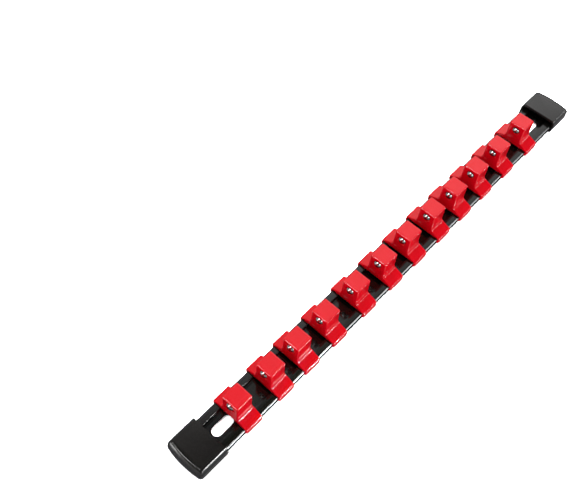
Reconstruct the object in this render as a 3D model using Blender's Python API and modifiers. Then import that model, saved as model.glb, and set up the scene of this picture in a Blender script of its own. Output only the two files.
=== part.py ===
"""Socket rail for half-inch drive sockets.

An extruded plastic channel carries twelve push-on clips that slide along it.
Each clip has a square post with a sprung steel ball, and a moulded cap closes each end of the rail.
X runs along the rail, Z is up, and the bench is at zero height below the middle of the rail.
"""

import math

import bmesh
import bpy
from mathutils import Matrix, Vector

MM = 0.001

# Fits between pieces
seat_gap = 0.3 * MM
slide_gap = 0.3 * MM
cut_overrun = 2.0 * MM

# Rail: a low web between two raised flanges, whose tops fall a little outwards
rail_clear_length = 342.7 * MM
rail_insert = 16.0 * MM
rail_height = 4.6 * MM
web_thickness = 1.7 * MM
channel_half = 7.3 * MM
ledge_width = 1.35 * MM
ledge_height = 0.5 * MM
flange_width = 4.65 * MM
flange_fall = 0.35 * MM
flange_round = 0.3 * MM

# Rail side: a lip that the clips hook under, a groove, and a foot
side_lip_drop = 1.1 * MM
side_lip_reach = 0.5 * MM
side_lip_height = 1.0 * MM
side_slope = 0.3 * MM
side_groove_depth = 0.65 * MM
side_foot_height = 0.7 * MM
side_round = 0.18 * MM

# Rail underside: one relief groove below each flange
relief_width = 1.5 * MM
relief_roof = 1.6 * MM

# Mounting slots, one at each end of the web
slot_width = 6.8 * MM
slot_length = 15.4 * MM
slot_inset = 2.1 * MM
slot_chamfer = 0.7 * MM

# End caps
cap_height = 10.0 * MM
cap_end_wall = 3.9 * MM
cap_plate = 1.6 * MM
cap_side_wall = 0.95 * MM
cap_rib_width = 1.2 * MM
cap_rib_setback = 3.0 * MM
cap_foot_thickness = 1.1 * MM
cap_foot_width = 5.0 * MM
cap_rear_foot = 2.0 * MM
cap_corner_round = 2.6 * MM
cap_bow = 1.0 * MM
cap_top_round = 0.9 * MM
cap_bottom_round = 0.3 * MM
cap_mouth_round_share = 0.35
cap_side_draft_share = 0.103
cap_end_draft_share = 0.26
cap_mouth_draft_share = 0.133

# Clips: a square post on a saddle that wraps the rail
post_width = 12.4 * MM
post_height = 14.85 * MM
post_round = 0.4 * MM
flare_height = 3.3 * MM
flare_side = 1.23 * MM
flare_end = 0.24 * MM
saddle_thickness = 3.15 * MM
shoulder_drop = 2.4 * MM
shoulder_round = 0.9 * MM
clip_lip_thickness = 1.5 * MM
hook_lead_in = 0.5 * MM
core_wall = 1.9 * MM
core_roof = 1.3 * MM

# Ball, its bore and its spring
ball_diameter = 6.0 * MM
ball_protrusion = 1.2 * MM
ball_below_top = 5.4 * MM
bore_play = 0.3 * MM
mouth_overlap = 0.1 * MM
mouth_lip = 0.34 * MM
mouth_countersink = 0.2 * MM
wire_diameter = 0.5 * MM
spring_play = 0.45 * MM
spring_length = 5.8 * MM
spring_turns = 4.0

# Where each clip stands, as a share of the length between the caps
clip_place_shares = (
    0.0648, 0.1453, 0.2127, 0.2878, 0.3723, 0.4514,
    0.5256, 0.6022, 0.6752, 0.7487, 0.8273, 0.9136,
)

# Facets
round_steps = 2
corner_steps = 4
slot_steps = 10
bore_steps = 16
ball_steps = 14
ball_rings = 8
coil_steps = 8
merge_distance = 0.001 * MM

# Heights above the bench
rail_bottom = cap_foot_thickness + seat_gap
web_top = rail_bottom + web_thickness
rail_top = rail_bottom + rail_height
side_lip_top = rail_top - side_lip_drop
side_lip_bottom = side_lip_top - side_lip_height
side_foot_top = rail_bottom + side_foot_height
saddle_bottom = rail_top + slide_gap
crease_height = saddle_bottom + saddle_thickness
shoulder_height = crease_height - shoulder_drop
post_top = crease_height + post_height
hook_top = side_lip_bottom - slide_gap
hook_bottom = side_foot_top + slide_gap
ball_height = post_top - ball_below_top

# Half widths across the rail
flange_half = channel_half + flange_width
ledge_half = channel_half - ledge_width
side_lip_half = flange_half + side_lip_reach
side_groove_half = flange_half - side_groove_depth
relief_middle = (channel_half + side_groove_half) / 2
saddle_inner_half = side_lip_half + slide_gap
saddle_outer_half = saddle_inner_half + clip_lip_thickness
hook_tip_half = side_groove_half + slide_gap
cap_seat_half = side_lip_half + seat_gap + cap_side_wall

# Lengths along the rail
rail_clear_half = rail_clear_length / 2
rail_half_length = rail_clear_half + rail_insert
cap_pocket_length = rail_insert + seat_gap
cap_length = cap_pocket_length + cap_end_wall
post_half = post_width / 2
saddle_half_length = post_half + flare_end
ball_radius = ball_diameter / 2
ball_x = -post_half - ball_protrusion + ball_radius
bore_radius = ball_radius + bore_play
mouth_radius = ball_radius - mouth_overlap
wire_radius = wire_diameter / 2
coil_radius = bore_radius - spring_play - wire_radius
spring_seat = math.sqrt((ball_radius + seat_gap + wire_radius) ** 2 - coil_radius ** 2)
spring_start = ball_x + spring_seat
spring_end = spring_start + spring_length
bore_end = spring_end + wire_radius + seat_gap


def collection(name):
    """A new collection in the scene."""
    made = bpy.data.collections.new(name)
    bpy.context.scene.collection.children.link(made)
    return made


def material(name, colour, roughness, metallic):
    """A plain Principled material."""
    made = bpy.data.materials.new(name)
    made.use_nodes = True
    shader = made.node_tree.nodes["Principled BSDF"]
    shader.inputs["Base Color"].default_value = (*colour, 1)
    shader.inputs["Roughness"].default_value = roughness
    shader.inputs["Metallic"].default_value = metallic
    made.diffuse_color = (*colour, 1)
    return made


def add_object(name, data, home):
    """An object of the given mesh or curve, in one collection."""
    made = bpy.data.objects.new(name, data)
    home.objects.link(made)
    return made


def smooth(mesh, angle=math.radians(32)):
    """Smooth shading that stays sharp at real edges."""
    mesh.shade_smooth()
    mesh.set_sharp_from_angle(angle=angle)


def mesh_of(obj):
    """The object's evaluated mesh, welded and in world space."""
    bpy.context.view_layer.update()
    graph = bpy.context.evaluated_depsgraph_get()
    mesh = bpy.data.meshes.new_from_object(obj.evaluated_get(graph))
    shape = bmesh.new()
    shape.from_mesh(mesh)
    bmesh.ops.remove_doubles(shape, verts=shape.verts, dist=merge_distance)
    bmesh.ops.recalc_face_normals(shape, faces=shape.faces)
    shape.to_mesh(mesh)
    shape.free()
    mesh.transform(obj.matrix_world)
    return mesh


def fillet_outline(corners):
    """Outline points through (y, z, radius) corners, with an arc at each corner that has a radius."""
    places = [Vector((y, z)) for y, z, radius in corners]
    points = []
    for index, (y, z, radius) in enumerate(corners):
        corner = places[index]
        if radius == 0:
            points.append(corner)
            continue
        before = (places[index - 1] - corner).normalized()
        after = (places[(index + 1) % len(places)] - corner).normalized()
        half_angle = before.angle(after) / 2
        centre = corner + (before + after).normalized() * radius / math.sin(half_angle)
        start = corner + before * radius / math.tan(half_angle) - centre
        end = corner + after * radius / math.tan(half_angle) - centre
        for step in range(round_steps + 1):
            points.append(centre + start.lerp(end, step / round_steps).normalized() * radius)
    return points


def mirrored(half):
    """A closed outline from its right half, whose corners run from the top middle to the bottom middle."""
    return half + [(-y, z, radius) for y, z, radius in reversed(half)]


def prism(name, outline, length, home):
    """An outline across the rail, extruded along it, as a mesh centred on the origin."""
    curve = bpy.data.curves.new(name, "CURVE")
    curve.dimensions = "2D"
    curve.fill_mode = "BOTH"
    curve.extrude = length / 2
    spline = curve.splines.new("POLY")
    spline.points.add(len(outline) - 1)
    for point, (y, z) in zip(spline.points, outline):
        point.co = (y, z, 0, 1)
    spline.use_cyclic_u = True
    drawn = add_object(name + "_outline", curve, home)
    drawn.matrix_world = Matrix(((0, 0, 1, 0), (1, 0, 0, 0), (0, 1, 0, 0), (0, 0, 0, 1)))
    mesh = mesh_of(drawn)
    bpy.data.objects.remove(drawn)
    mesh.name = name
    return add_object(name, mesh, home)


def loft(name, rings, home):
    """A closed solid through rings of points, bottom ring first, each ring anticlockwise from above."""
    shape = bmesh.new()
    rows = [[shape.verts.new(point) for point in ring] for ring in rings]
    count = len(rows[0])
    for lower, upper in zip(rows, rows[1:]):
        for i in range(count):
            j = (i + 1) % count
            shape.faces.new((lower[i], lower[j], upper[j], upper[i]))
    shape.faces.new(reversed(rows[0]))
    shape.faces.new(rows[-1])
    mesh = bpy.data.meshes.new(name)
    shape.to_mesh(mesh)
    shape.free()
    return add_object(name, mesh, home)


def turned(name, profile, steps, home):
    """A solid of revolution about Z, from (radius, height) points that run from the top to the bottom."""
    shape = bmesh.new()
    verts = [shape.verts.new((radius, 0, height)) for radius, height in profile]
    for first, second in zip(verts, verts[1:]):
        shape.edges.new((first, second))
    mesh = bpy.data.meshes.new(name)
    shape.to_mesh(mesh)
    shape.free()
    made = add_object(name, mesh, home)
    screw = made.modifiers.new("Turn", "SCREW")
    screw.steps = steps
    screw.render_steps = steps
    screw.use_merge_vertices = True
    screw.merge_threshold = merge_distance
    return made


def combine(obj, operation, tools):
    """Booleans of one kind on an object, with their tools shown as wires."""
    for tool in tools:
        tool.hide_render = True
        tool.display_type = "WIRE"
        boolean = obj.modifiers.new(tool.name, "BOOLEAN")
        boolean.operation = operation
        boolean.solver = "EXACT"
        boolean.object = tool


def finished(obj, name):
    """The object with its cuts applied, so that copies can share its mesh."""
    mesh = mesh_of(obj)
    mesh.name = name
    bpy.data.objects.remove(obj)
    smooth(mesh)
    return mesh


def rail_outline():
    """Right half of the rail's section, from the middle of the web out and back along the underside."""
    relief_inner = relief_middle - relief_width / 2
    relief_outer = relief_middle + relief_width / 2
    relief_top = rail_top - relief_roof
    return [
        (ledge_half, web_top, 0),
        (ledge_half, web_top + ledge_height, side_round),
        (channel_half, web_top + ledge_height, 0),
        (channel_half, rail_top, flange_round),
        (flange_half, rail_top - flange_fall, flange_round),
        (flange_half, side_lip_top + side_slope, 0),
        (side_lip_half, side_lip_top, side_round),
        (side_lip_half, side_lip_bottom, side_round),
        (side_groove_half, side_lip_bottom, 0),
        (side_groove_half, side_foot_top, 0),
        (side_lip_half, side_foot_top, side_round),
        (side_lip_half, rail_bottom, side_round),
        (relief_outer, rail_bottom, 0),
        (relief_outer, relief_top, 0),
        (relief_inner, relief_top, 0),
        (relief_inner, rail_bottom, 0),
    ]


def slot_ring(middle_x, radius, height):
    """A stadium outline round one mounting slot."""
    straight_half = (slot_length - slot_width) / 2
    points = []
    for side, start in ((1, -math.pi / 2), (-1, math.pi / 2)):
        for step in range(slot_steps + 1):
            angle = start + math.pi * step / slot_steps
            x = middle_x + side * straight_half + radius * math.cos(angle)
            points.append((x, radius * math.sin(angle), height))
    return points


def slot_cutter(name, middle_x, home):
    """A slot through the web, with a chamfered rim on top."""
    radius = slot_width / 2
    rings = [
        slot_ring(middle_x, radius, rail_bottom - cut_overrun),
        slot_ring(middle_x, radius, web_top - slot_chamfer),
        slot_ring(middle_x, radius + slot_chamfer + cut_overrun, web_top + cut_overrun),
    ]
    return loft(name, rings, home)


def make_rail(home, cutters):
    """The extruded channel with its two mounting slots."""
    rail = prism("rail", fillet_outline(mirrored(rail_outline())), 2 * rail_half_length, home)
    slot_middle = rail_clear_half - slot_inset - slot_length / 2
    near_slot = slot_cutter("slot_near", -slot_middle, cutters)
    far_slot = slot_cutter("slot_far", slot_middle, cutters)
    combine(rail, "DIFFERENCE", (near_slot, far_slot))
    smooth(rail.data)
    return rail


def cap_half_at(height):
    """Half width of a cap's drafted side at a height."""
    return cap_seat_half - cap_side_draft_share * (height - side_lip_top)


def cap_ring(height, inset):
    """A cap's plan outline at a height: square mouth towards the rail, bowed end with round corners."""
    half = cap_half_at(height) - inset
    below_top = cap_height - height
    mouth = cap_mouth_draft_share * below_top - cap_mouth_round_share * inset
    end = cap_length + cap_end_draft_share * below_top - inset
    radius = cap_corner_round
    shoulder = half - radius
    points = [(mouth, half, height)]
    for step in range(corner_steps + 1):
        angle = math.pi / 2 * step / corner_steps
        x = -(end - cap_bow) + radius * (1 - math.sin(angle))
        points.append((x, shoulder + radius * math.cos(angle), height))
    for share in (0.5, 0, -0.5):
        points.append((-end + cap_bow * share * share, shoulder * share, height))
    for step in range(corner_steps + 1):
        angle = math.pi / 2 * step / corner_steps
        x = -(end - cap_bow) + radius * (1 - math.cos(angle))
        points.append((x, -shoulder - radius * math.sin(angle), height))
    points.append((mouth, -half, height))
    return points


def cap_cutter(name, half_outline, depth, cutters):
    """A cutter of one section, from outside a cap's mouth to a depth inside it."""
    outside = cap_mouth_draft_share * cap_height + cut_overrun
    made = prism(name, fillet_outline(mirrored(half_outline)), depth + outside, cutters)
    made.location.x = (outside - depth) / 2
    return made


def pocket_outline():
    """Right half of the space for the rail's end, whose sides follow the cap's draft."""
    roof = cap_height - cap_plate
    return [
        (cap_half_at(roof) - cap_side_wall, roof, 0),
        (cap_half_at(cap_foot_thickness) - cap_side_wall, cap_foot_thickness, 0),
    ]


def opening_outline():
    """Right half of the opening between the feet, which reaches up into the pocket."""
    opening_half = cap_half_at(0) - cap_foot_width
    return [
        (opening_half, cap_foot_thickness + seat_gap, 0),
        (opening_half, -cut_overrun, 0),
    ]


def cap_rib(name, side, cutters):
    """One rib under the cap's roof that holds down a flange, rooted in the roof and the end wall."""
    low = Vector((
        -cap_pocket_length - cap_end_wall / 2,
        side * (channel_half + flange_half) / 2 - cap_rib_width / 2,
        rail_top + seat_gap,
    ))
    high = Vector((-cap_rib_setback, low.y + cap_rib_width, cap_height - cap_plate / 2))
    shape = bmesh.new()
    place = Matrix.Translation((low + high) / 2) @ Matrix.Diagonal((*(high - low), 1))
    bmesh.ops.create_cube(shape, size=1, matrix=place)
    mesh = bpy.data.meshes.new(name)
    shape.to_mesh(mesh)
    shape.free()
    return add_object(name, mesh, cutters)


def cap_mesh(home, cutters):
    """The near cap, with the middle of its mouth's top edge at the origin's X and Y."""
    rings = [cap_ring(0, cap_bottom_round), cap_ring(cap_bottom_round, 0)]
    for step in range(corner_steps):
        angle = math.pi / 2 * step / (corner_steps - 1)
        height = cap_height - cap_top_round * (1 - math.sin(angle))
        rings.append(cap_ring(height, cap_top_round * (1 - math.cos(angle))))
    body = loft("cap_body", rings, home)

    pocket = cap_cutter("cap_pocket", pocket_outline(), cap_pocket_length, cutters)
    opening_depth = cap_pocket_length - cap_rear_foot
    opening = cap_cutter("cap_opening", opening_outline(), opening_depth, cutters)
    combine(body, "DIFFERENCE", (pocket, opening))
    combine(body, "UNION", (cap_rib("cap_rib_left", 1, cutters), cap_rib("cap_rib_right", -1, cutters)))
    return finished(body, "end_cap")


def make_caps(home, cutters, finish):
    """Both end caps, which share one mesh."""
    mesh = cap_mesh(home, cutters)
    mesh.materials.append(finish)
    near = add_object("end_cap_near", mesh, home)
    near.location.x = -rail_clear_half
    far = add_object("end_cap_far", mesh, home)
    far.location.x = rail_clear_half
    far.rotation_euler.z = math.pi
    return near, far


def clip_ring(half_x, half_y, height):
    """A rectangle with rounded corners, round a clip at one height."""
    points = []
    for quarter in range(4):
        sign_x = (1, -1, -1, 1)[quarter]
        sign_y = (1, 1, -1, -1)[quarter]
        for step in range(round_steps + 1):
            angle = math.pi / 2 * (quarter + step / round_steps)
            x = sign_x * (half_x - post_round) + post_round * math.cos(angle)
            y = sign_y * (half_y - post_round) + post_round * math.sin(angle)
            points.append((x, y, height))
    return points


def clip_rings():
    """Rings up a clip: the straight lips, the round shoulder edge, the shoulder, the flare and the post."""
    length = saddle_half_length
    slope = math.atan2(shoulder_drop, saddle_outer_half - post_half - flare_side)
    rings = [clip_ring(length, saddle_outer_half, hook_bottom)]
    for step in range(corner_steps):
        angle = (math.pi / 2 - slope) * step / (corner_steps - 1)
        y = saddle_outer_half - shoulder_round * (1 - math.cos(angle))
        z = shoulder_height - shoulder_round * (1 - math.sin(angle))
        rings.append(clip_ring(length, y, z))
    for step in range(corner_steps, -1, -1):
        angle = math.pi / 2 * step / corner_steps
        bulge = 1 - math.cos(angle)
        z = crease_height + flare_height * (1 - math.sin(angle))
        rings.append(clip_ring(post_half + flare_end * bulge, post_half + flare_side * bulge, z))
    for step in range(round_steps + 1):
        angle = math.pi / 2 * step / round_steps
        inset = post_round * (1 - math.cos(angle))
        z = post_top - post_round * (1 - math.sin(angle))
        rings.append(clip_ring(post_half - inset, post_half - inset, z))
    return rings


def tunnel_outline():
    """Right half of the space inside the saddle, where the rail runs, with the hooks left standing."""
    return [
        (saddle_inner_half, saddle_bottom, side_round),
        (saddle_inner_half, hook_top, 0),
        (hook_tip_half, hook_top, 0),
        (hook_tip_half, hook_bottom + hook_lead_in, 0),
        (hook_tip_half + hook_lead_in, hook_bottom, 0),
        (hook_tip_half + hook_lead_in, hook_bottom - cut_overrun, 0),
    ]


def bore_cutter(cutters):
    """The blind bore for ball and spring, narrowed behind its countersunk mouth."""
    face = -post_half
    countersink = mouth_radius + mouth_countersink
    profile = [
        (0, bore_end),
        (bore_radius, bore_end),
        (bore_radius, face + mouth_lip),
        (mouth_radius, face + mouth_lip),
        (mouth_radius, face + mouth_countersink),
        (countersink, face),
        (countersink, face - cut_overrun),
        (0, face - cut_overrun),
    ]
    bore = turned("ball_bore", profile, bore_steps, cutters)
    bore.location.z = ball_height
    bore.rotation_euler.y = math.pi / 2
    return bore


def core_cutter(cutters):
    """The hollow that lightens the foot of the post from below."""
    half = post_half - core_wall
    roof = ball_height - bore_radius - core_roof
    rings = [clip_ring(half, half, height) for height in (saddle_bottom - cut_overrun, roof)]
    return loft("post_core", rings, cutters)


def clip_mesh(home, cutters):
    """One clip, round the origin's X and Y."""
    body = loft("clip_body", clip_rings(), home)
    outline = fillet_outline(mirrored(tunnel_outline()))
    tunnel = prism("rail_tunnel", outline, 2 * (saddle_half_length + cut_overrun), cutters)
    combine(body, "DIFFERENCE", (tunnel, core_cutter(cutters), bore_cutter(cutters)))
    return finished(body, "clip")


def ball_mesh():
    """A bearing ball round the origin."""
    shape = bmesh.new()
    across = Matrix.Rotation(math.pi / 2, 4, "Y")
    bmesh.ops.create_uvsphere(
        shape, u_segments=ball_steps, v_segments=ball_rings, radius=ball_radius, matrix=across)
    mesh = bpy.data.meshes.new("ball")
    shape.to_mesh(mesh)
    shape.free()
    mesh.shade_smooth()
    return mesh


def spring_mesh(home):
    """A compression spring along X, from the back of the ball to the end of the bore."""
    curve = bpy.data.curves.new("spring", "CURVE")
    curve.dimensions = "3D"
    curve.bevel_depth = wire_radius
    curve.bevel_resolution = 1
    curve.use_fill_caps = True
    count = round(spring_turns * coil_steps) + 1
    spline = curve.splines.new("POLY")
    spline.points.add(count - 1)
    path = []
    for index, point in enumerate(spline.points):
        share = index / (count - 1)
        angle = math.tau * spring_turns * share
        path.append(Vector((
            spring_start + spring_length * share,
            coil_radius * math.cos(angle),
            coil_radius * math.sin(angle),
        )))
        point.co = (*path[-1], 1)
    drawn = add_object("spring_path", curve, home)
    mesh = mesh_of(drawn)
    bpy.data.objects.remove(drawn)
    mesh.name = "spring"
    mesh.shade_smooth()
    turns_apart = zip(path, path[coil_steps:])
    gap = min((second - first).length for first, second in turns_apart) - wire_diameter
    print(f"spring: least gap between turns {gap / MM:.2f} mm")
    return mesh


def make_clips(home, cutters, red, chrome, steel):
    """Twelve clips, each with its ball and its spring."""
    clip = clip_mesh(home, cutters)
    clip.materials.append(red)
    ball = ball_mesh()
    ball.materials.append(chrome)
    spring = spring_mesh(home)
    spring.materials.append(steel)
    for number, share in enumerate(clip_place_shares, 1):
        body = add_object(f"clip_{number:02d}", clip, home)
        body.location.x = (share - 0.5) * rail_clear_length
        detent = add_object(f"ball_{number:02d}", ball, home)
        detent.location = (ball_x, 0, ball_height)
        detent.parent = body
        coil = add_object(f"spring_{number:02d}", spring, home)
        coil.location.z = ball_height
        coil.parent = body


def main():
    """Clears the scene and builds the socket rail."""
    for obj in list(bpy.data.objects):
        bpy.data.objects.remove(obj)
    parts = collection("socket_rail")
    cutters = collection("cutters")
    black = material("black_abs", (0.022, 0.021, 0.020), 0.38, 0.0)
    vinyl = material("black_moulded_cap", (0.020, 0.018, 0.016), 0.5, 0.0)
    red = material("red_moulded_clip", (0.78, 0.012, 0.02), 0.28, 0.0)
    chrome = material("chrome_steel", (0.8, 0.8, 0.8), 0.08, 1.0)
    steel = material("spring_steel", (0.55, 0.55, 0.55), 0.3, 1.0)
    rail = make_rail(parts, cutters)
    rail.data.materials.append(black)
    make_caps(parts, cutters, vinyl)
    make_clips(parts, cutters, red, chrome, steel)
    bpy.context.view_layer.update()


main()
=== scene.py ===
"""Looks for a socket rail: fine surfaces, finishes, studio and camera.

Shape functions work in millimetres, in the frame's own axes, and become metres when a mesh is made.
"""

import math

import bmesh
import bpy
import numpy as np
from mathutils import Matrix, Vector


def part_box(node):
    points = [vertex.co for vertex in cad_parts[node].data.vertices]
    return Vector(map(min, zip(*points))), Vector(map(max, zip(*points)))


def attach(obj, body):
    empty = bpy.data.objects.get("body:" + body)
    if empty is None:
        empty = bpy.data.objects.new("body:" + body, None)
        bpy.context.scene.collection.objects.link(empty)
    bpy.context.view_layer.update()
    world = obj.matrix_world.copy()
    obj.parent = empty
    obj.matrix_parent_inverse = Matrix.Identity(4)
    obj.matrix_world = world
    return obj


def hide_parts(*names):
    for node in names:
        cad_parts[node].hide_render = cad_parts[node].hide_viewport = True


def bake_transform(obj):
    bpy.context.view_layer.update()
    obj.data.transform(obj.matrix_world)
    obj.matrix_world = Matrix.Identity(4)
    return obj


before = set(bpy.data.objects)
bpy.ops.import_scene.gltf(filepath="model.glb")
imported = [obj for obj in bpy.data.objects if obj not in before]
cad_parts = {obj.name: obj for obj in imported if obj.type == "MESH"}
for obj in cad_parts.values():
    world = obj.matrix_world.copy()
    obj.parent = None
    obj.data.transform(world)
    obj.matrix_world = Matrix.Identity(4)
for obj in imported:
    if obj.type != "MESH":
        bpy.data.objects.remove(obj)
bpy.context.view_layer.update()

MM = 0.001
NUMBERS = [f"{number:02d}" for number in range(1, 13)]


def box_mm(name):
    """A CAD node's lowest and highest corners in millimetres."""
    low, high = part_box(name)
    return np.array(low) / MM, np.array(high) / MM


RAIL_LOW, RAIL_HIGH = box_mm("rail")
CLIP_LOW, CLIP_HIGH = box_mm("clip_01")
CAP_HIGH = box_mm("end_cap_near")[1]
CLIP_X = {number: sum(box_mm(f"clip_{number}"))[0] / 2 for number in NUMBERS}

# Clip: its reach comes from the frame, and a corner or an edge is the radius of a round
saddle_half_x = (CLIP_HIGH[0] - CLIP_LOW[0]) / 2
saddle_half_y = CLIP_HIGH[1]
saddle_corner = 0.5
post_top = CLIP_HIGH[2]
post_height = 14.85
post_half = 6.2
post_corner = 0.95
post_edge = 0.75
crease_height = post_top - post_height
crease_round = 0.35
flare_height = 3.3
flare_side = 1.23
flare_power = 1.3
shoulder_drop = 2.4
shoulder_height = crease_height - shoulder_drop
shoulder_round = 1.3
saddle_roof = 6.3
lip_edge = 0.2
lip_draft = 0.04
lip_inner_y = 12.75
hook_bottom = CLIP_LOW[2]
hook_top = 3.6
hook_tip_y = 11.6
hook_lead_in = 0.5
core_wall = 1.9
core_half = post_half - core_wall
core_roof = 14.3

# Ball, bore and spring
ball_below_top = 5.4
ball_height = post_top - ball_below_top
ball_radius = 3.0
ball_stands_out = 1.2
ball_x = -post_half - ball_stands_out + ball_radius
bore_radius = 3.3
recess_radius = 3.6
recess_depth = 0.75
recess_round = 0.15
mouth_radius = 2.9
mouth_lip = 1.0
bore_end = 4.37
wire_radius = 0.25
coil_radius = 2.6
spring_start = -1.98
spring_end = 3.82
spring_turns = 4.0

# Rail section: a half is the distance from the rail's middle plane
rail_half = RAIL_HIGH[0]
rail_bottom = RAIL_LOW[2]
rail_top = RAIL_HIGH[2]
web_thickness = 1.7
web_top = rail_bottom + web_thickness
channel_half = 7.3
ledge_half = 5.95
ledge_height = 0.5
flange_half = 12.15
flange_round = 0.4
flange_fall = 0.35
side_lip_half = 12.6
side_lip_drop = 1.1
side_lip_top = rail_top - side_lip_drop
side_lip_height = 1.0
side_lip_bottom = side_lip_top - side_lip_height
side_groove_half = 11.5
side_foot_height = 0.7
side_foot_top = rail_bottom + side_foot_height
side_foot_half = 13.05
side_slope = 0.455
side_round = 0.2
side_lean = 0.15
relief_inner = 8.55
relief_outer = 10.05
relief_roof = 1.6
relief_top = rail_top - relief_roof

# Mounting slots, one beside each cap
rail_insert = 16.0
clear_half = rail_half - rail_insert
slot_width = 6.8
slot_length = 15.4
slot_inset = 2.1
slot_middle = clear_half - slot_inset - slot_length / 2
slot_straight_half = (slot_length - slot_width) / 2
slot_radius = slot_width / 2
slot_chamfer = 0.7
slot_edge_round = 0.12

# End caps: from the flat top each wall swells outwards over a drop, by a curve's bend, and leans in below
cap_height = CAP_HIGH[2]
cap_bow = 1.0
cap_corner = 2.6
cap_corner_draw = 0.7
cap_flat_half = 12.27
cap_flat_end = 19.3
cap_side_swell, cap_side_drop, cap_side_bend, cap_side_lean = 1.97, 3.2, 1.35, 0.2
cap_end_swell, cap_end_drop, cap_end_bend, cap_end_lean = 3.42, 4.7, 1.25, 0.75
cap_lean_top = 5.5
cap_mouth_draft = 0.133
cap_mouth_round = 0.3
cap_sole_inset, cap_sole_round = 0.3, 0.9
cap_plate = 1.6
cap_wall = 0.95
cap_foot = 1.1
cap_foot_half = 9.2
cap_pocket = 16.3
cap_opening = 14.3
cap_rib_half = 0.6
cap_rib_y = 9.625
cap_rib_start = 3.0
cap_rib_gap = 0.3

# Steps and lines of the meshes: a support line lies close beside a round and keeps the flat face flat
support = 0.08
edge_steps = 6
flare_steps = 14
lip_hem_steps = 3
side_lines = 3
shoulder_shares = (0.25, 0.5, 0.75)
crease_shares = (0.0, 0.35, 0.7)
hem_draw = 2.0
bore_face_shares = np.array([0, 0.4, 0.8, 0.96, 1])
slot_face_shares = np.array([0, 0.5, 0.93, 1])
slot_edge_steps = 3
cap_bow_steps = 16
cap_wall_steps = 7
cap_row_crowding = 1.5
ball_rows, ball_columns = 33, 49
coil_steps, wire_steps = 24, 10
weld_distance = 0.0005
sliver_length = 0.0002

# Lines across a clip's end faces: a window of equal cells round the bore, and two lines on each side of it
window_half = 4.0
window_cells = 16
window_lines = np.linspace(-window_half, window_half, window_cells + 1)
window_margin = 2

# Lines along the web, which the window round each slot shares with the rail's section
slot_window_half = 5.0
slot_cells = 20
web_lines = np.linspace(-slot_window_half, slot_window_half, slot_cells + 1)
slot_window_reach = 9.5
slot_stations = np.linspace(-slot_window_reach, slot_window_reach, 39)
plain_stations = np.linspace(-130, 130, 14)

# Materials: the middle part of a noise, which carries a value from one end of its range to the other
noise_low, noise_high = 0.3, 0.7

# Studio, as shares of a full plain light
ambient_light = 0.45
wall_way = (0.757, 0.494, 0.428)
wall_edge = (0.658, 0.94)
wall_light = 1.55
room_light = 0.08
left_edge = (0.45, 0.85)
left_light = 0.4
horizon_edge = (0.03, 0.1)
horizon_light = 1.8
floor_to_mirrors = 0.38
floor_to_camera = 6.0
floor_metres = 6

# Camera, fitted to the photograph's 569 by 482 frame
image_width = 569
focal_pixels = 801.9
sensor_width = 36.0
camera_mm = (-271.4, -126.6, 451.0)
camera_turn = math.radians(39.39)
camera_down = math.radians(56.55)
camera_roll = math.radians(-4.15)


def linear(code):
    """A colour written as sRGB hex, in linear light."""
    parts = [int(code[i:i + 2], 16) / 255 for i in (1, 3, 5)]
    return [c / 12.92 if c <= 0.04045 else ((c + 0.055) / 1.055) ** 2.4 for c in parts] + [1.0]


def add(tree, kind, inputs=None, **settings):
    """Adds a shader node with its settings, and fills inputs with values or other nodes' sockets."""
    made = tree.nodes.new("ShaderNode" + kind)
    for key, value in settings.items():
        setattr(made, key, value)
    for key, value in (inputs or {}).items():
        if isinstance(value, bpy.types.NodeSocket):
            tree.links.new(value, made.inputs[key])
        else:
            made.inputs[key].default_value = value
    return made


def surface(name, **sockets):
    """A material whose Principled shader has these uniform socket values."""
    made = bpy.data.materials.new(name)
    made.use_nodes = True
    shader = made.node_tree.nodes["Principled BSDF"]
    for key, value in sockets.items():
        shader.inputs[key.replace("_", " ")].default_value = value
    return made, made.node_tree, shader


def grain(tree, size, stretch=(1, 1, 1), detail=2.0):
    """Noise with grains of a size in millimetres, longer along an axis by its stretch."""
    place = add(tree, "TexCoord").outputs["Object"]
    scale = [1 / (size * MM * factor) for factor in stretch]
    mapped = add(tree, "Mapping", {"Vector": place, "Scale": scale})
    inputs = {"Vector": mapped.outputs["Vector"], "Scale": 1.0, "Detail": detail, "Roughness": 0.5}
    return add(tree, "TexNoise", inputs).outputs["Fac"]


def vary(tree, shader, cloud, colours, gloss, roughness, reliefs=()):
    """Drives a shader by noises: its colour between two hex codes, its roughness in a range, and its relief.

    The relief is a row of noises, each with the height in millimetres that it stands for.
    """
    spread = {"From Min": noise_low, "From Max": noise_high}
    share = add(tree, "MapRange", {"Value": cloud, **spread}).outputs["Result"]
    ends = {"Factor": share, "A": linear(colours[0]), "B": linear(colours[1])}
    colour = add(tree, "Mix", ends, data_type="RGBA").outputs["Result"]
    ends = {"Value": gloss, "To Min": roughness[0], "To Max": roughness[1], **spread}
    rough = add(tree, "MapRange", ends).outputs["Result"]
    tree.links.new(colour, shader.inputs["Base Color"])
    tree.links.new(rough, shader.inputs["Roughness"])
    normal = {}
    for noise, height in reliefs:
        bump = add(tree, "Bump", {"Height": noise, "Distance": height * MM, "Strength": 1.0, **normal})
        normal = {"Normal": bump.outputs["Normal"]}
        tree.links.new(bump.outputs["Normal"], shader.inputs["Normal"])


def moulded_red_plastic():
    """Glossy injection-moulded ABS, coloured through: clean red with a clear gloss over it."""
    made, tree, shader = surface("moulded_red_abs", IOR=1.53)
    # Sink waves some 9 mm long make lamp images waver, and a fine bloom of 1.3 mm makes the gloss uneven.
    sink = grain(tree, size=9.0)
    bloom = grain(tree, size=1.3)
    vary(tree, shader, sink, ("#E60219", "#EA041C"), bloom, (0.08, 0.12), ((sink, 0.008), (bloom, 0.0002)))
    return made


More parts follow.
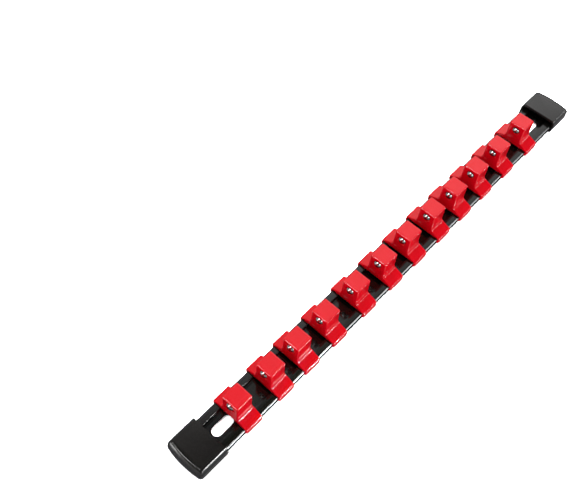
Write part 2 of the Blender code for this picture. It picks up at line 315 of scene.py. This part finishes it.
def extruded_black_plastic():
    """Extruded ABS: black and glossy, with faint straight lines that the die leaves along its length."""
    made, tree, shader = surface("extruded_black_abs", IOR=1.53)
    # Real die lines lie some 0.1 mm apart. They are drawn 0.35 mm apart, so that the gloss shows them.
    lines = grain(tree, size=0.35, stretch=(220, 1, 1), detail=3.0)
    cloud = grain(tree, size=14.0, detail=3.0)
    vary(tree, shader, cloud, ("#0C0B0A", "#100F0D"), lines, (0.09, 0.14), ((lines, 0.0006),))
    return made


def moulded_black_cap():
    """Moulded black ABS with a finely spark-eroded skin, which blurs what it reflects to a grey veil."""
    made, tree, shader = surface("moulded_black_cap", IOR=1.53)
    # Real spark erosion has a grit of some 0.05 mm. It is drawn at 0.28 mm, so that the veil shows its grain.
    grit = grain(tree, size=0.28)
    cloud = grain(tree, size=11.0, detail=3.0)
    vary(tree, shader, cloud, ("#131110", "#171513"), grit, (0.2, 0.26), ((grit, 0.002),))
    return made


def polished_ball_steel():
    """Chrome steel of a bearing ball: a mirror, a little dulled by the haze that lapping leaves."""
    made, tree, shader = surface("polished_bearing_steel", Metallic=1.0)
    haze = grain(tree, size=0.9, detail=3.0)
    vary(tree, shader, haze, ("#A9AAAB", "#B4B4B3"), haze, (0.04, 0.08))
    return made


def drawn_spring_wire():
    """Drawn music wire: grey steel that the drawing die leaves half bright and finely mottled."""
    made, tree, shader = surface("drawn_spring_wire", Metallic=1.0)
    mottle = grain(tree, size=0.12, detail=3.0)
    vary(tree, shader, mottle, ("#A9A9A6", "#BFBFBC"), mottle, (0.25, 0.4))
    return made


def quarter(steps, start=0.0):
    """Angles of a quarter turn, in equal steps."""
    return start + math.pi / 2 * np.linspace(0, 1, steps + 1)


def grid(*columns):
    """A grid of points from three arrays that stretch to one shape."""
    return np.stack(np.broadcast_arrays(*columns), -1)


def quads(rows, columns, start, keep=None):
    """Corner numbers of a grid's quads, row by row, less those that a mask leaves out."""
    index = np.arange(rows * columns).reshape(rows, columns) + start
    faces = np.stack((index[:-1, :-1], index[:-1, 1:], index[1:, 1:], index[1:, :-1]), -1)
    return faces.reshape(-1, 4) if keep is None else faces[keep]


def mesh_from(name, patches, lids=(), sharp=40):
    """A welded mesh from grids of points, or (grid, mask) pairs, and flat lids, all in millimetres."""
    points = []
    faces = []
    count = 0
    for patch in patches:
        patch, keep = patch if isinstance(patch, tuple) else (patch, None)
        faces += quads(*patch.shape[:2], count, keep).tolist()
        points.append(patch.reshape(-1, 3))
        count += len(points[-1])
    for lid in lids:
        faces.append(list(range(count, count + len(lid))))
        points.append(np.asarray(lid))
        count += len(lid)
    mesh = bpy.data.meshes.new(name)
    mesh.from_pydata((np.concatenate(points) * MM).tolist(), [], faces)
    shape = bmesh.new()
    shape.from_mesh(mesh)
    bmesh.ops.remove_doubles(shape, verts=shape.verts, dist=weld_distance * MM)
    bmesh.ops.dissolve_degenerate(shape, edges=shape.edges, dist=sliver_length * MM)
    bmesh.ops.recalc_face_normals(shape, faces=shape.faces)
    open_edges = sum(len(edge.link_faces) != 2 for edge in shape.edges)
    if open_edges:
        print(f"{name}: {open_edges} open edges")
    shape.to_mesh(mesh)
    shape.free()
    mesh.shade_smooth()
    mesh.set_sharp_from_angle(angle=math.radians(sharp))
    return mesh


def place(mesh, node, body, slot, skin, move=(0, 0, 0), turn=0.0):
    """Puts a copy of a mesh where a CAD node is, on that node's body where it has one."""
    own = mesh.copy()
    own.transform(Matrix.Translation(Vector(move) * MM) @ Matrix.Rotation(turn, 4, "Z"))
    own.materials.clear()
    own.materials.append(skin)
    made = bpy.data.objects.new(node + "_surface", own)
    bpy.context.scene.collection.objects.link(made)
    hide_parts(node)
    if body:
        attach(made, body)
    return made


def end_lines(outer):
    """Where the lines cross an end face, from -outer to outer."""
    middle = (outer + window_half) / 2
    return np.concatenate(([-outer, -middle], window_lines, [middle, outer]))


def clip_ring(half_x, half_y, corner, outer):
    """A closed rectangle with round corners, anticlockwise from the end face at +X."""
    ends = end_lines(outer)
    reach = half_x - corner - support
    sides = np.array([reach, 0, -reach])
    loop = [np.stack((np.full_like(ends, half_x), ends), 1)]
    for start, sign_x, sign_y in ((0, 1, 1), (1, -1, 1), (2, -1, -1), (3, 1, -1)):
        angle = quarter(edge_steps, start * math.pi / 2)
        x = sign_x * (half_x - corner) + corner * np.cos(angle)
        y = sign_y * (half_y - corner) + corner * np.sin(angle)
        loop.append(np.stack((x, y), 1))
        if start == 0:
            loop.append(np.stack((sides, np.full_like(sides, half_y)), 1))
        if start == 1:
            loop.append(np.stack((np.full_like(ends, -half_x), ends[::-1]), 1))
        if start == 2:
            loop.append(np.stack((-sides, np.full_like(sides, -half_y)), 1))
    loop.append(loop[0][:1])
    return np.concatenate(loop)


def hem_start():
    """The angle on the shoulder's edge at which the arc leaves the saddle's roof line."""
    return math.asin(1 - (shoulder_height - saddle_roof) / shoulder_round)


def lip_half(z):
    """Half width over a lip's outside, which leans in a little on its way up."""
    return saddle_half_y - lip_draft * (z - hook_bottom)


def hem_point(angle):
    """A point of the arc that rounds the shoulder's edge, from upright at 0 to flat at a quarter turn."""
    y = lip_half(shoulder_height) - shoulder_round * (1 - math.cos(angle))
    return y, shoulder_height - shoulder_round * (1 - math.sin(angle))


def clip_side():
    """Rows up a clip from the saddle's roof: height, half sizes, corner radius and outermost end line.

    The shoulder's edge is an arc, the shoulder a straight slope, the crease a short arc, the flare a quarter
    superellipse in both directions, tightest at the crease, and the post's top edge a quarter circle.
    """
    slope = math.atan2(crease_height - shoulder_height, saddle_half_y - post_half - flare_side)
    rows = []
    for angle in np.linspace(hem_start(), math.pi / 2 - slope, 2 * edge_steps + 1):
        y, z = hem_point(angle)
        share = (z - saddle_roof) / (crease_height - saddle_roof)
        rows.append((z, saddle_half_x, y, saddle_corner, lip_inner_y - hem_draw * share))
    crease_y = post_half + flare_side
    first_y, first_z = rows[-1][2], rows[-1][0]
    for share in shoulder_shares:
        y = first_y + (crease_y - first_y) * share
        z = first_z + (crease_height - first_z) * share
        rows.append((z, saddle_half_x, y, saddle_corner, y - saddle_corner - support))
    for share in crease_shares:
        y = crease_y + crease_round * (1 - share)
        z = crease_height - crease_round * (1 - share) ** 2 * math.tan(slope)
        rows.append((z, saddle_half_x, y, saddle_corner, y - saddle_corner - support))
    flare_end = saddle_half_x - post_half
    for angle in np.linspace(math.pi / 2, 0, flare_steps + 1):
        bulge = 1 - max(0, math.cos(angle)) ** flare_power
        half_y = post_half + flare_side * bulge
        z = crease_height + flare_height * (1 - math.sin(angle) ** flare_power)
        corner = post_corner + (saddle_corner - post_corner) * bulge
        rows.append((z, post_half + flare_end * bulge, half_y, corner, half_y - corner - support))
    for z in ball_height + window_lines:
        rows.append((z, post_half, post_half, post_corner, post_half - post_corner - support))
    rows.append((post_top - post_edge - support, post_half, post_half, post_corner, rows[-1][4]))
    for angle in quarter(edge_steps):
        inset = post_edge * (1 - math.cos(angle))
        z = post_top - post_edge * (1 - math.sin(angle))
        outer = post_half - post_corner - support
        rows.append((z, post_half - inset, post_half - inset, post_corner - inset, outer))
    inset = post_edge + support
    outer = rows[-1][4] - support
    rows.append((post_top, post_half - inset, post_half - inset, post_corner - post_edge, outer))
    return rows


def bore_patches():
    """The face round the bore as a square that turns into a circle, and the bore's turned profile.

    A shallow recess leads to the lip that holds the ball, and the bore is wider again behind it.
    """
    edge = window_half
    square = np.concatenate((
        np.stack((window_lines, np.full_like(window_lines, -edge)), 1)[:-1],
        np.stack((np.full_like(window_lines, edge), window_lines), 1)[:-1],
        np.stack((window_lines[::-1], np.full_like(window_lines, edge)), 1)[:-1],
        np.stack((np.full_like(window_lines, -edge), window_lines[::-1]), 1),
    ))
    way = square / np.linalg.norm(square, axis=1)[:, None]
    rim = recess_radius + recess_round
    face = square + (way * rim - square) * bore_face_shares[:, None, None]
    angle = quarter(edge_steps)
    arc_radius = rim - recess_round * np.sin(angle)
    arc_depth = recess_round * (1 - np.cos(angle))
    steps = np.array((
        (recess_radius, recess_depth), (mouth_radius, recess_depth), (mouth_radius, mouth_lip),
        (bore_radius, mouth_lip), (bore_radius, bore_end + post_half)))
    radius = np.concatenate((arc_radius, steps[:, 0]))
    depth = np.concatenate((arc_depth, steps[:, 1]))
    wall = way * radius[:, None, None]
    return (
        grid(-post_half, face[..., 0], face[..., 1] + ball_height),
        grid(depth[:, None] - post_half, wall[..., 0], wall[..., 1] + ball_height),
    )


def lip_patches(side):
    """One lip of the saddle: its rounded outside, its hooked inside and its sole.

    Rows run down from the saddle's roof; the inside steps in to the hook and slopes back under it.
    """
    rows = []
    for angle in np.linspace(hem_start(), 0, lip_hem_steps + 1):
        y, z = hem_point(angle)
        rows.append((z, y, lip_inner_y))
    rows.append((hook_top, lip_half(hook_top), lip_inner_y))
    rows.append((hook_top, lip_half(hook_top), hook_tip_y))
    rows.append((hook_bottom + hook_lead_in, lip_half(hook_bottom + hook_lead_in), hook_tip_y))
    for angle in quarter(edge_steps):
        inset = lip_edge * (1 - math.cos(angle))
        z = hook_bottom + lip_edge * (1 - math.sin(angle))
        inner = hook_tip_y + hook_lead_in - (z - hook_bottom)
        rows.append((z, lip_half(z) - inset, inner))
    first = quarter(edge_steps)
    second = quarter(edge_steps, math.pi / 2)
    reach = saddle_half_x - saddle_corner
    sides = np.array([reach - support, 0, support - reach])
    x = np.concatenate((
        [saddle_half_x], reach + saddle_corner * np.cos(first), sides,
        saddle_corner * np.cos(second) - reach, [-saddle_half_x]))
    across = np.concatenate(([saddle_half_x], sides, [-saddle_half_x]))
    outside = []
    inside = []
    for z, half_y, inner in rows:
        y = np.concatenate((
            [inner], half_y - saddle_corner + saddle_corner * np.sin(first), np.full_like(sides, half_y),
            half_y - saddle_corner + saddle_corner * np.sin(second), [inner]))
        outside.append(grid(x, side * y, z))
        inside.append(grid(across, side * inner, z))
    sole = np.concatenate((outside[-1], inside[-1][3:0:-1]))
    return [np.array(outside), np.array(inside)], sole


def roof_patch():
    """The saddle's roof over the rail, drawn in to the square core of the post, and the core's walls."""
    ends = end_lines(lip_inner_y)
    reach = saddle_half_x - saddle_corner - support
    sides = np.array([reach, 0, -reach])
    x = np.concatenate((
        np.full_like(ends, saddle_half_x), sides,
        np.full_like(ends, -saddle_half_x), -sides, [saddle_half_x]))
    y = np.concatenate((
        ends, np.full_like(sides, lip_inner_y),
        ends[::-1], np.full_like(sides, -lip_inner_y), [-lip_inner_y]))
    share_x = core_half / saddle_half_x
    share_y = core_half / lip_inner_y
    return np.stack((
        grid(x, y, saddle_roof),
        grid(x * share_x, y * share_y, saddle_roof),
        grid(x * share_x, y * share_y, core_roof),
    ))


def clip_mesh():
    """One clip round X 0: rings up the outside, a window with the bore, two lips and the roof.

    A ring starts with the far face, and a corner, a side and a corner lie between it and the near face.
    """
    rows = clip_side()
    rings = [grid(*clip_ring(x, y, corner, outer).T, z) for z, x, y, corner, outer in rows]
    skin = np.stack(rings)
    keep = np.ones((len(rings) - 1, skin.shape[1] - 1), bool)
    heights = np.array([row[0] for row in rows])
    first_row = int(np.argmin(abs(heights - (ball_height - window_half))))
    far_face = len(window_lines) + 2 * window_margin
    first_line = far_face + 2 * (edge_steps + 1) + side_lines + window_margin
    keep[first_row:first_row + window_cells, first_line:first_line + window_cells] = False
    left, left_sole = lip_patches(1)
    right, right_sole = lip_patches(-1)
    roof = roof_patch()
    face, bore = bore_patches()
    patches = [(skin, keep), face, bore, roof, *left, *right]
    lids = [skin[-1][:-1], bore[-1][:-1], roof[-1][:-1], left_sole, right_sole]
    return mesh_from("clip", patches, lids)


def ball_mesh():
    """A sphere whose poles lie along X."""
    along = np.linspace(0, math.pi, ball_rows)[:, None]
    around = np.linspace(0, math.tau, ball_columns)
    x = ball_x - ball_radius * np.cos(along)
    y = ball_radius * np.sin(along) * np.cos(around)
    z = ball_height + ball_radius * np.sin(along) * np.sin(around)
    return mesh_from("ball", [grid(x, y, z)])


def spring_mesh():
    """A round wire carried along an even helix about the bore's middle line, cut flat at both ends."""
    along = np.linspace(0, 1, int(spring_turns * coil_steps) + 1)[:, None]
    around = np.linspace(0, math.tau, wire_steps + 1)
    turn = math.tau * spring_turns * along
    middle_x = spring_start + (spring_end - spring_start) * along
    out = coil_radius + wire_radius * np.cos(around)
    x = middle_x + wire_radius * np.sin(around)
    y = out * np.cos(turn)
    z = ball_height + out * np.sin(turn)
    tube = grid(x, y, z)
    return mesh_from("spring", [tube], [tube[0][:-1], tube[-1][:-1]])


def rail_corner(before, at, after, radius):
    """Points of an arc that rounds one corner of a section."""
    at = np.array(at)
    first = (np.array(before) - at) / np.linalg.norm(np.array(before) - at)
    second = (np.array(after) - at) / np.linalg.norm(np.array(after) - at)
    half = math.acos(np.clip(first @ second, -1, 1)) / 2
    middle = (first + second) / np.linalg.norm(first + second)
    centre = at + middle * radius / math.sin(half)
    start = at + first * radius / math.tan(half) - centre
    end = at + second * radius / math.tan(half) - centre
    share = np.linspace(0, 1, edge_steps + 1)[:, None]
    ray = start * (1 - share) + end * share
    return centre + ray / np.linalg.norm(ray, axis=1)[:, None] * radius


def rail_section():
    """The rail's closed section as (y, z) points, from the web's left ledge over the right side and back."""
    corners = [
        (ledge_half, web_top, 0),
        (ledge_half, web_top + ledge_height, side_round),
        (channel_half, web_top + ledge_height, 0),
        (channel_half, rail_top, flange_round),
        (flange_half, rail_top - flange_fall, flange_round),
        (flange_half, side_lip_top + side_slope, 0),
        (side_lip_half, side_lip_top, side_round),
        (side_lip_half - side_lean, side_lip_bottom, side_round),
        (side_groove_half, side_lip_bottom, 0),
        (side_groove_half, side_foot_top, 0),
        (side_foot_half, side_foot_top, side_round),
        (side_foot_half - side_lean, rail_bottom, side_round),
        (relief_outer, rail_bottom, 0),
        (relief_outer, relief_top, 0),
        (relief_inner, relief_top, 0),
        (relief_inner, rail_bottom, 0),
    ]
    right = []
    for i, (y, z, radius) in enumerate(corners):
        if radius == 0:
            right.append([(y, z)])
            continue
        right.append(rail_corner(corners[i - 1][:2], (y, z), corners[i + 1][:2], radius))
    right = np.concatenate(right)
    left = right[::-1] * (-1, 1)
    over = np.stack((web_lines, np.full_like(web_lines, web_top)), 1)
    under = np.stack((web_lines[::-1], np.full_like(web_lines, rail_bottom)), 1)
    return np.concatenate((over, right, under, left, over[:1])), len(right)


def slot_patches(middle):
    """A slot through the web: two flat windows, each drawn in to a stadium, and the wall between them.

    Each point of a window's edge goes straight towards the nearest point of the slot's middle line. The wall
    starts with a chamfer from the web's top, turns down by a small arc and then runs straight to the bottom.
    """
    x = np.concatenate((
        slot_stations, np.full(slot_cells, slot_window_reach), slot_stations[::-1][1:],
        np.full(slot_cells, -slot_window_reach)))
    y = np.concatenate((
        np.full(len(slot_stations), -slot_window_half), web_lines[1:],
        np.full(len(slot_stations) - 1, slot_window_half), web_lines[::-1][1:]))
    spine = np.clip(x, -slot_straight_half, slot_straight_half)
    reach = np.hypot(x - spine, y)
    way_x, way_y = (x - spine) / reach, y / reach

    def ring(radius):
        return spine + way_x * radius, way_y * radius

    def flat(radius, height):
        rim_x, rim_y = ring(radius)
        shares = slot_face_shares[:, None]
        return grid(middle + x + (rim_x - x) * shares, y + (rim_y - y) * shares, height)

    angle = quarter(slot_edge_steps)
    foot = web_top - slot_chamfer
    arc = slot_radius + slot_edge_round * (1 - np.sin(angle))
    radii = np.concatenate(([slot_radius + slot_chamfer, slot_radius + slot_edge_round], arc, [slot_radius]))
    heights = np.concatenate((
        [web_top, foot + slot_edge_round], foot + slot_edge_round * np.cos(angle), [rail_bottom]))
    wall = np.stack([grid(middle + ring(r)[0], ring(r)[1], z) for r, z in zip(radii, heights)])
    return [flat(slot_radius + slot_chamfer, web_top), wall, flat(slot_radius, rail_bottom)]


def rail_mesh():
    """The section carried along X, with a window left out of web top and web bottom for each slot."""
    section, right_count = rail_section()
    near = -slot_middle + slot_stations
    far = slot_middle + slot_stations
    stations = np.concatenate(([-rail_half], near, plain_stations, far, [rail_half]))
    skin = grid(stations[:, None], section[:, 0], section[:, 1])
    keep = np.ones((len(stations) - 1, len(section) - 1), bool)
    under = len(web_lines) + right_count
    for first in (1, len(stations) - 1 - len(far)):
        for column in (0, under):
            keep[first:first + len(near) - 1, column:column + slot_cells] = False
    patches = [(skin, keep), *slot_patches(-slot_middle), *slot_patches(slot_middle)]
    return mesh_from("rail", patches, [skin[0][:-1], skin[-1][:-1]], sharp=35)


def quarter_fall(depth, round_depth, bend=2.0):
    """Share by which a quarter superellipse lies inside its widest line, at a depth below its flat end."""
    return 1 - (1 - (1 - min(depth / round_depth, 1)) ** bend) ** (1 / bend)


def cap_reach(z, flat, swell, drop, bend, full_lean):
    """How far a cap's wall stands out at a height.

    A quarter superellipse falls from the flat top, a parabola leans the wall in below it, and a quarter
    circle turns it in at the sole.
    """
    lean = full_lean * max(0, 1 - z / cap_lean_top) ** 2
    sole = cap_sole_inset * quarter_fall(z, cap_sole_round)
    return flat + swell * (1 - quarter_fall(cap_height - z, drop, bend)) - lean - sole


def cap_half(z):
    """Half width of a cap's side wall at a height."""
    return cap_reach(z, cap_flat_half, cap_side_swell, cap_side_drop, cap_side_bend, cap_side_lean)


def cap_plan(z):
    """A cap's plan at a height, open at the mouth: straight sides, round corners and a parabolic bow.

    The corners are quarter circles that get smaller towards the top, and the mouth stands out lower down.
    """
    half = cap_half(z)
    depth = cap_height - z
    corner = cap_corner - cap_corner_draw * cap_side_swell * quarter_fall(depth, cap_side_drop, cap_side_bend)
    mouth = cap_mouth_draft * depth - cap_mouth_round * quarter_fall(depth, cap_mouth_round)
    end = cap_reach(z, cap_flat_end, cap_end_swell, cap_end_drop, cap_end_bend, cap_end_lean)
    shoulder = half - corner
    angle = quarter(2 * edge_steps)
    corner_x = cap_bow - end + corner * (1 - np.sin(angle))
    corner_y = shoulder + corner * np.cos(angle)
    bow = np.linspace(1, -1, cap_bow_steps + 1)[1:-1]
    side = np.array([mouth, mouth - support, corner_x[0] + support])
    straight = np.full_like(side, half)
    x = np.concatenate((side, corner_x, -end + cap_bow * bow ** 2, corner_x[::-1], side[::-1]))
    y = np.concatenate((straight, corner_y, shoulder * bow, -corner_y[::-1], -straight))
    return x, y


def cap_mesh():
    """The near cap, its mouth's top edge at X 0: a curved shell, open at the mouth and between its feet.

    Rows lie closer towards the top, where the wall bends most. Inner outlines are the outer one, held back to
    a smaller box, so all have the same number of points. Two ribs hang from the roof to just over the rail.
    """
    heights = np.concatenate((
        cap_sole_round * (1 - np.cos(quarter(edge_steps))),
        np.linspace(cap_sole_round, cap_height - cap_end_drop, cap_wall_steps + 1)[1:-1],
        cap_height - cap_end_drop * (1 - np.sin(quarter(4 * edge_steps))) ** cap_row_crowding))
    skin = np.stack([grid(*cap_plan(z), z) for z in heights])

    def held(z, depth, half):
        x, y = cap_plan(z)
        return grid(np.clip(x, -depth, None), np.clip(y, -half, half), z)

    roof = cap_height - cap_plate
    inner = [
        skin[0],
        held(0, cap_opening, cap_foot_half),
        held(cap_foot, cap_opening, cap_foot_half),
        held(cap_foot, cap_pocket, cap_half(cap_foot) - cap_wall),
        held(roof, cap_pocket, cap_half(roof) - cap_wall),
    ]
    inside = np.stack(inner)
    mouth = np.concatenate((
        skin[:, 0], skin[::-1, -1], inside[1:, -1], inside[:0:-1, 0]))
    ribs = []
    for side in (-1, 1):
        y = side * cap_rib_y + cap_rib_half * np.array([-1, 1, 1, -1, -1])
        x = np.array([-cap_pocket, -cap_pocket, -cap_rib_start, -cap_rib_start, -cap_pocket])
        ribs.append(grid(x, y, np.array([roof, rail_top + cap_rib_gap])[:, None]))
    lids = [skin[-1], inside[-1], mouth] + [rib[end][:-1] for rib in ribs for end in (0, -1)]
    return mesh_from("end_cap", [skin, inside, *ribs], lids, sharp=50)


def make_pieces():
    """Every piece of the rail; all but the springs go on the body that carries their CAD node."""
    red = moulded_red_plastic()
    black = extruded_black_plastic()
    cap_black = moulded_black_cap()
    chrome = polished_ball_steel()
    wire = drawn_spring_wire()
    place(rail_mesh(), "rail", "rail_body", "rail_black", black)
    cap = cap_mesh()
    place(cap, "end_cap_near", "rail_body", "cap_black", cap_black, (-clear_half, 0, 0))
    place(cap, "end_cap_far", "rail_body", "cap_black", cap_black, (clear_half, 0, 0), math.pi)
    clip, ball, spring = clip_mesh(), ball_mesh(), spring_mesh()
    for number in NUMBERS:
        move = (CLIP_X[number], 0, 0)
        place(clip, f"clip_{number}", f"clip_{number}_body", "clip_red", red, move)
        place(ball, f"ball_{number}", f"ball_{number}_body", "ball_chrome", chrome, move)
        coil = place(spring, f"spring_{number}", None, "spring_steel", wire, move)
        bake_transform(coil)


def shown_by_ray(tree, plain, to_mirrors, to_camera):
    """One shader for plain light, one for what mirrors see and one for the camera."""
    rays = add(tree, "LightPath")
    mirrors = {0: rays.outputs["Is Glossy Ray"], 1: plain.outputs[0], 2: to_mirrors.outputs[0]}
    glossy = add(tree, "MixShader", mirrors)
    camera = {0: rays.outputs["Is Camera Ray"], 1: glossy.outputs[0], 2: to_camera.outputs[0]}
    return add(tree, "MixShader", camera).outputs[0]


def make_floor():
    """A plain white bench with the rail's tight shadows, brighter to the camera and darker to mirrors."""
    bpy.ops.mesh.primitive_plane_add(size=floor_metres)
    floor = bpy.context.object
    floor.name = "floor"
    made = bpy.data.materials.new("white_bench")
    made.use_nodes = True
    tree = made.node_tree
    tree.nodes.clear()
    plain = add(tree, "BsdfDiffuse", {"Color": linear("#EDEDED")})
    mirrored = add(tree, "BsdfDiffuse", {"Color": (floor_to_mirrors,) * 3 + (1,)})
    seen = add(tree, "BsdfDiffuse", {"Color": (floor_to_camera,) * 3 + (1,)})
    add(tree, "OutputMaterial", {"Surface": shown_by_ray(tree, plain, mirrored, seen)})
    floor.data.materials.append(made)


def make_world():
    """A white studio, which is even light to plain surfaces and a pale wall in a dark room to mirrors.

    The wall stands behind the far end. It fades overhead and to the left, and a white horizon lies under it.
    """
    world = bpy.data.worlds.new("studio")
    bpy.context.scene.world = world
    world.use_nodes = True
    tree = world.node_tree
    tree.nodes.clear()
    look = add(tree, "TexCoord").outputs["Generated"]
    way = add(tree, "SeparateXYZ", {"Vector": look}).outputs
    facing = add(tree, "VectorMath", {0: look, 1: wall_way}, operation="DOT_PRODUCT").outputs["Value"]
    wall = add(tree, "MapRange", {
        "Value": facing, "From Min": wall_edge[0], "From Max": wall_edge[1],
        "To Min": room_light, "To Max": wall_light}).outputs["Result"]
    left = add(tree, "MapRange", {
        "Value": way["Y"], "From Min": left_edge[0], "From Max": left_edge[1],
        "To Min": 1.0, "To Max": left_light}).outputs["Result"]
    above = add(tree, "Math", {0: wall, 1: left}, operation="MULTIPLY").outputs["Value"]
    mirrored = add(tree, "MapRange", {
        "Value": way["Z"], "From Min": horizon_edge[0], "From Max": horizon_edge[1],
        "To Min": horizon_light, "To Max": above}).outputs["Result"]
    plain, to_mirrors, to_camera = [
        add(tree, "Background", {"Color": (1, 1, 1, 1), "Strength": strength})
        for strength in (ambient_light, mirrored, 1.0)]
    add(tree, "OutputWorld", {"Surface": shown_by_ray(tree, plain, to_mirrors, to_camera)})


def softbox(name, way, distance, size, level, gloss=True, diffuse=True):
    """A soft lamp in a direction from the rail's middle, sized in metres.

    Its level is the share of a full plain light that it gives a surface that faces it.
    """
    lamp = bpy.data.lights.new(name, "AREA")
    lamp.shape = "RECTANGLE"
    lamp.size, lamp.size_y = size
    lamp.energy = level * math.pi ** 2 * distance ** 2
    made = bpy.data.objects.new(name, lamp)
    bpy.context.scene.collection.objects.link(made)
    made.location = Vector(way).normalized() * distance
    made.rotation_euler = Vector(way).to_track_quat("Z", "Y").to_euler()
    made.visible_camera = False
    made.visible_glossy = gloss
    made.visible_diffuse = diffuse


def make_lamps():
    """Soft lamps overhead, in front and on the right that no gloss shows, and five that only gloss shows.

    The five are seen as bright lines along the rail's side, the creases and the edges of posts and caps.
    """
    softbox("overhead", (0.3, 0.6, 1.0), 1.6, (1.2, 1.2), 0.47, gloss=False)
    softbox("front_fill", (-0.9, -0.1, 0.45), 1.6, (0.8, 0.8), 0.22, gloss=False)
    softbox("right_fill", (0.30, -0.72, 0.62), 1.6, (0.6, 0.6), 0.32, gloss=False)
    softbox("right_edge_light", (0.235, -0.95, 0.14), 2.0, (0.52, 0.11), 1.25, diffuse=False)
    softbox("right_strip_light", (0.52, -0.83, 0.19), 2.0, (1.14, 0.13), 0.36, diffuse=False)
    softbox("front_edge_light", (-0.74, 0.27, 0.62), 2.0, (0.5, 0.5), 0.5, diffuse=False)
    softbox("front_right_light", (-0.45, -0.86, 0.22), 2.0, (0.4, 0.4), 0.25, diffuse=False)
    softbox("low_front_light", (-0.88, 0.46, 0.035), 1.5, (0.45, 0.22), 0.2, diffuse=False)


def make_camera():
    """The photograph's view: a turn about Z, a tilt down, and a small roll about the view's axis."""
    flat = math.cos(camera_down)
    ahead = Vector((flat * math.cos(camera_turn), flat * math.sin(camera_turn), -math.sin(camera_down)))
    right = ahead.cross(Vector((0, 0, 1))).normalized()
    down = ahead.cross(right)
    rolled_right = math.cos(camera_roll) * right + math.sin(camera_roll) * down
    rolled_down = math.cos(camera_roll) * down - math.sin(camera_roll) * right
    lens = bpy.data.cameras.new("camera")
    lens.sensor_width = sensor_width
    lens.lens = focal_pixels * sensor_width / image_width
    lens.clip_start = 0.01
    made = bpy.data.objects.new("camera", lens)
    bpy.context.scene.collection.objects.link(made)
    view = Matrix((rolled_right, -rolled_down, -ahead)).transposed().to_4x4()
    view.translation = Vector(camera_mm) * MM
    made.matrix_world = view
    bpy.context.scene.camera = made


make_pieces()
make_floor()
make_world()
make_lamps()
make_camera()
bpy.context.scene.view_settings.view_transform = "Standard"
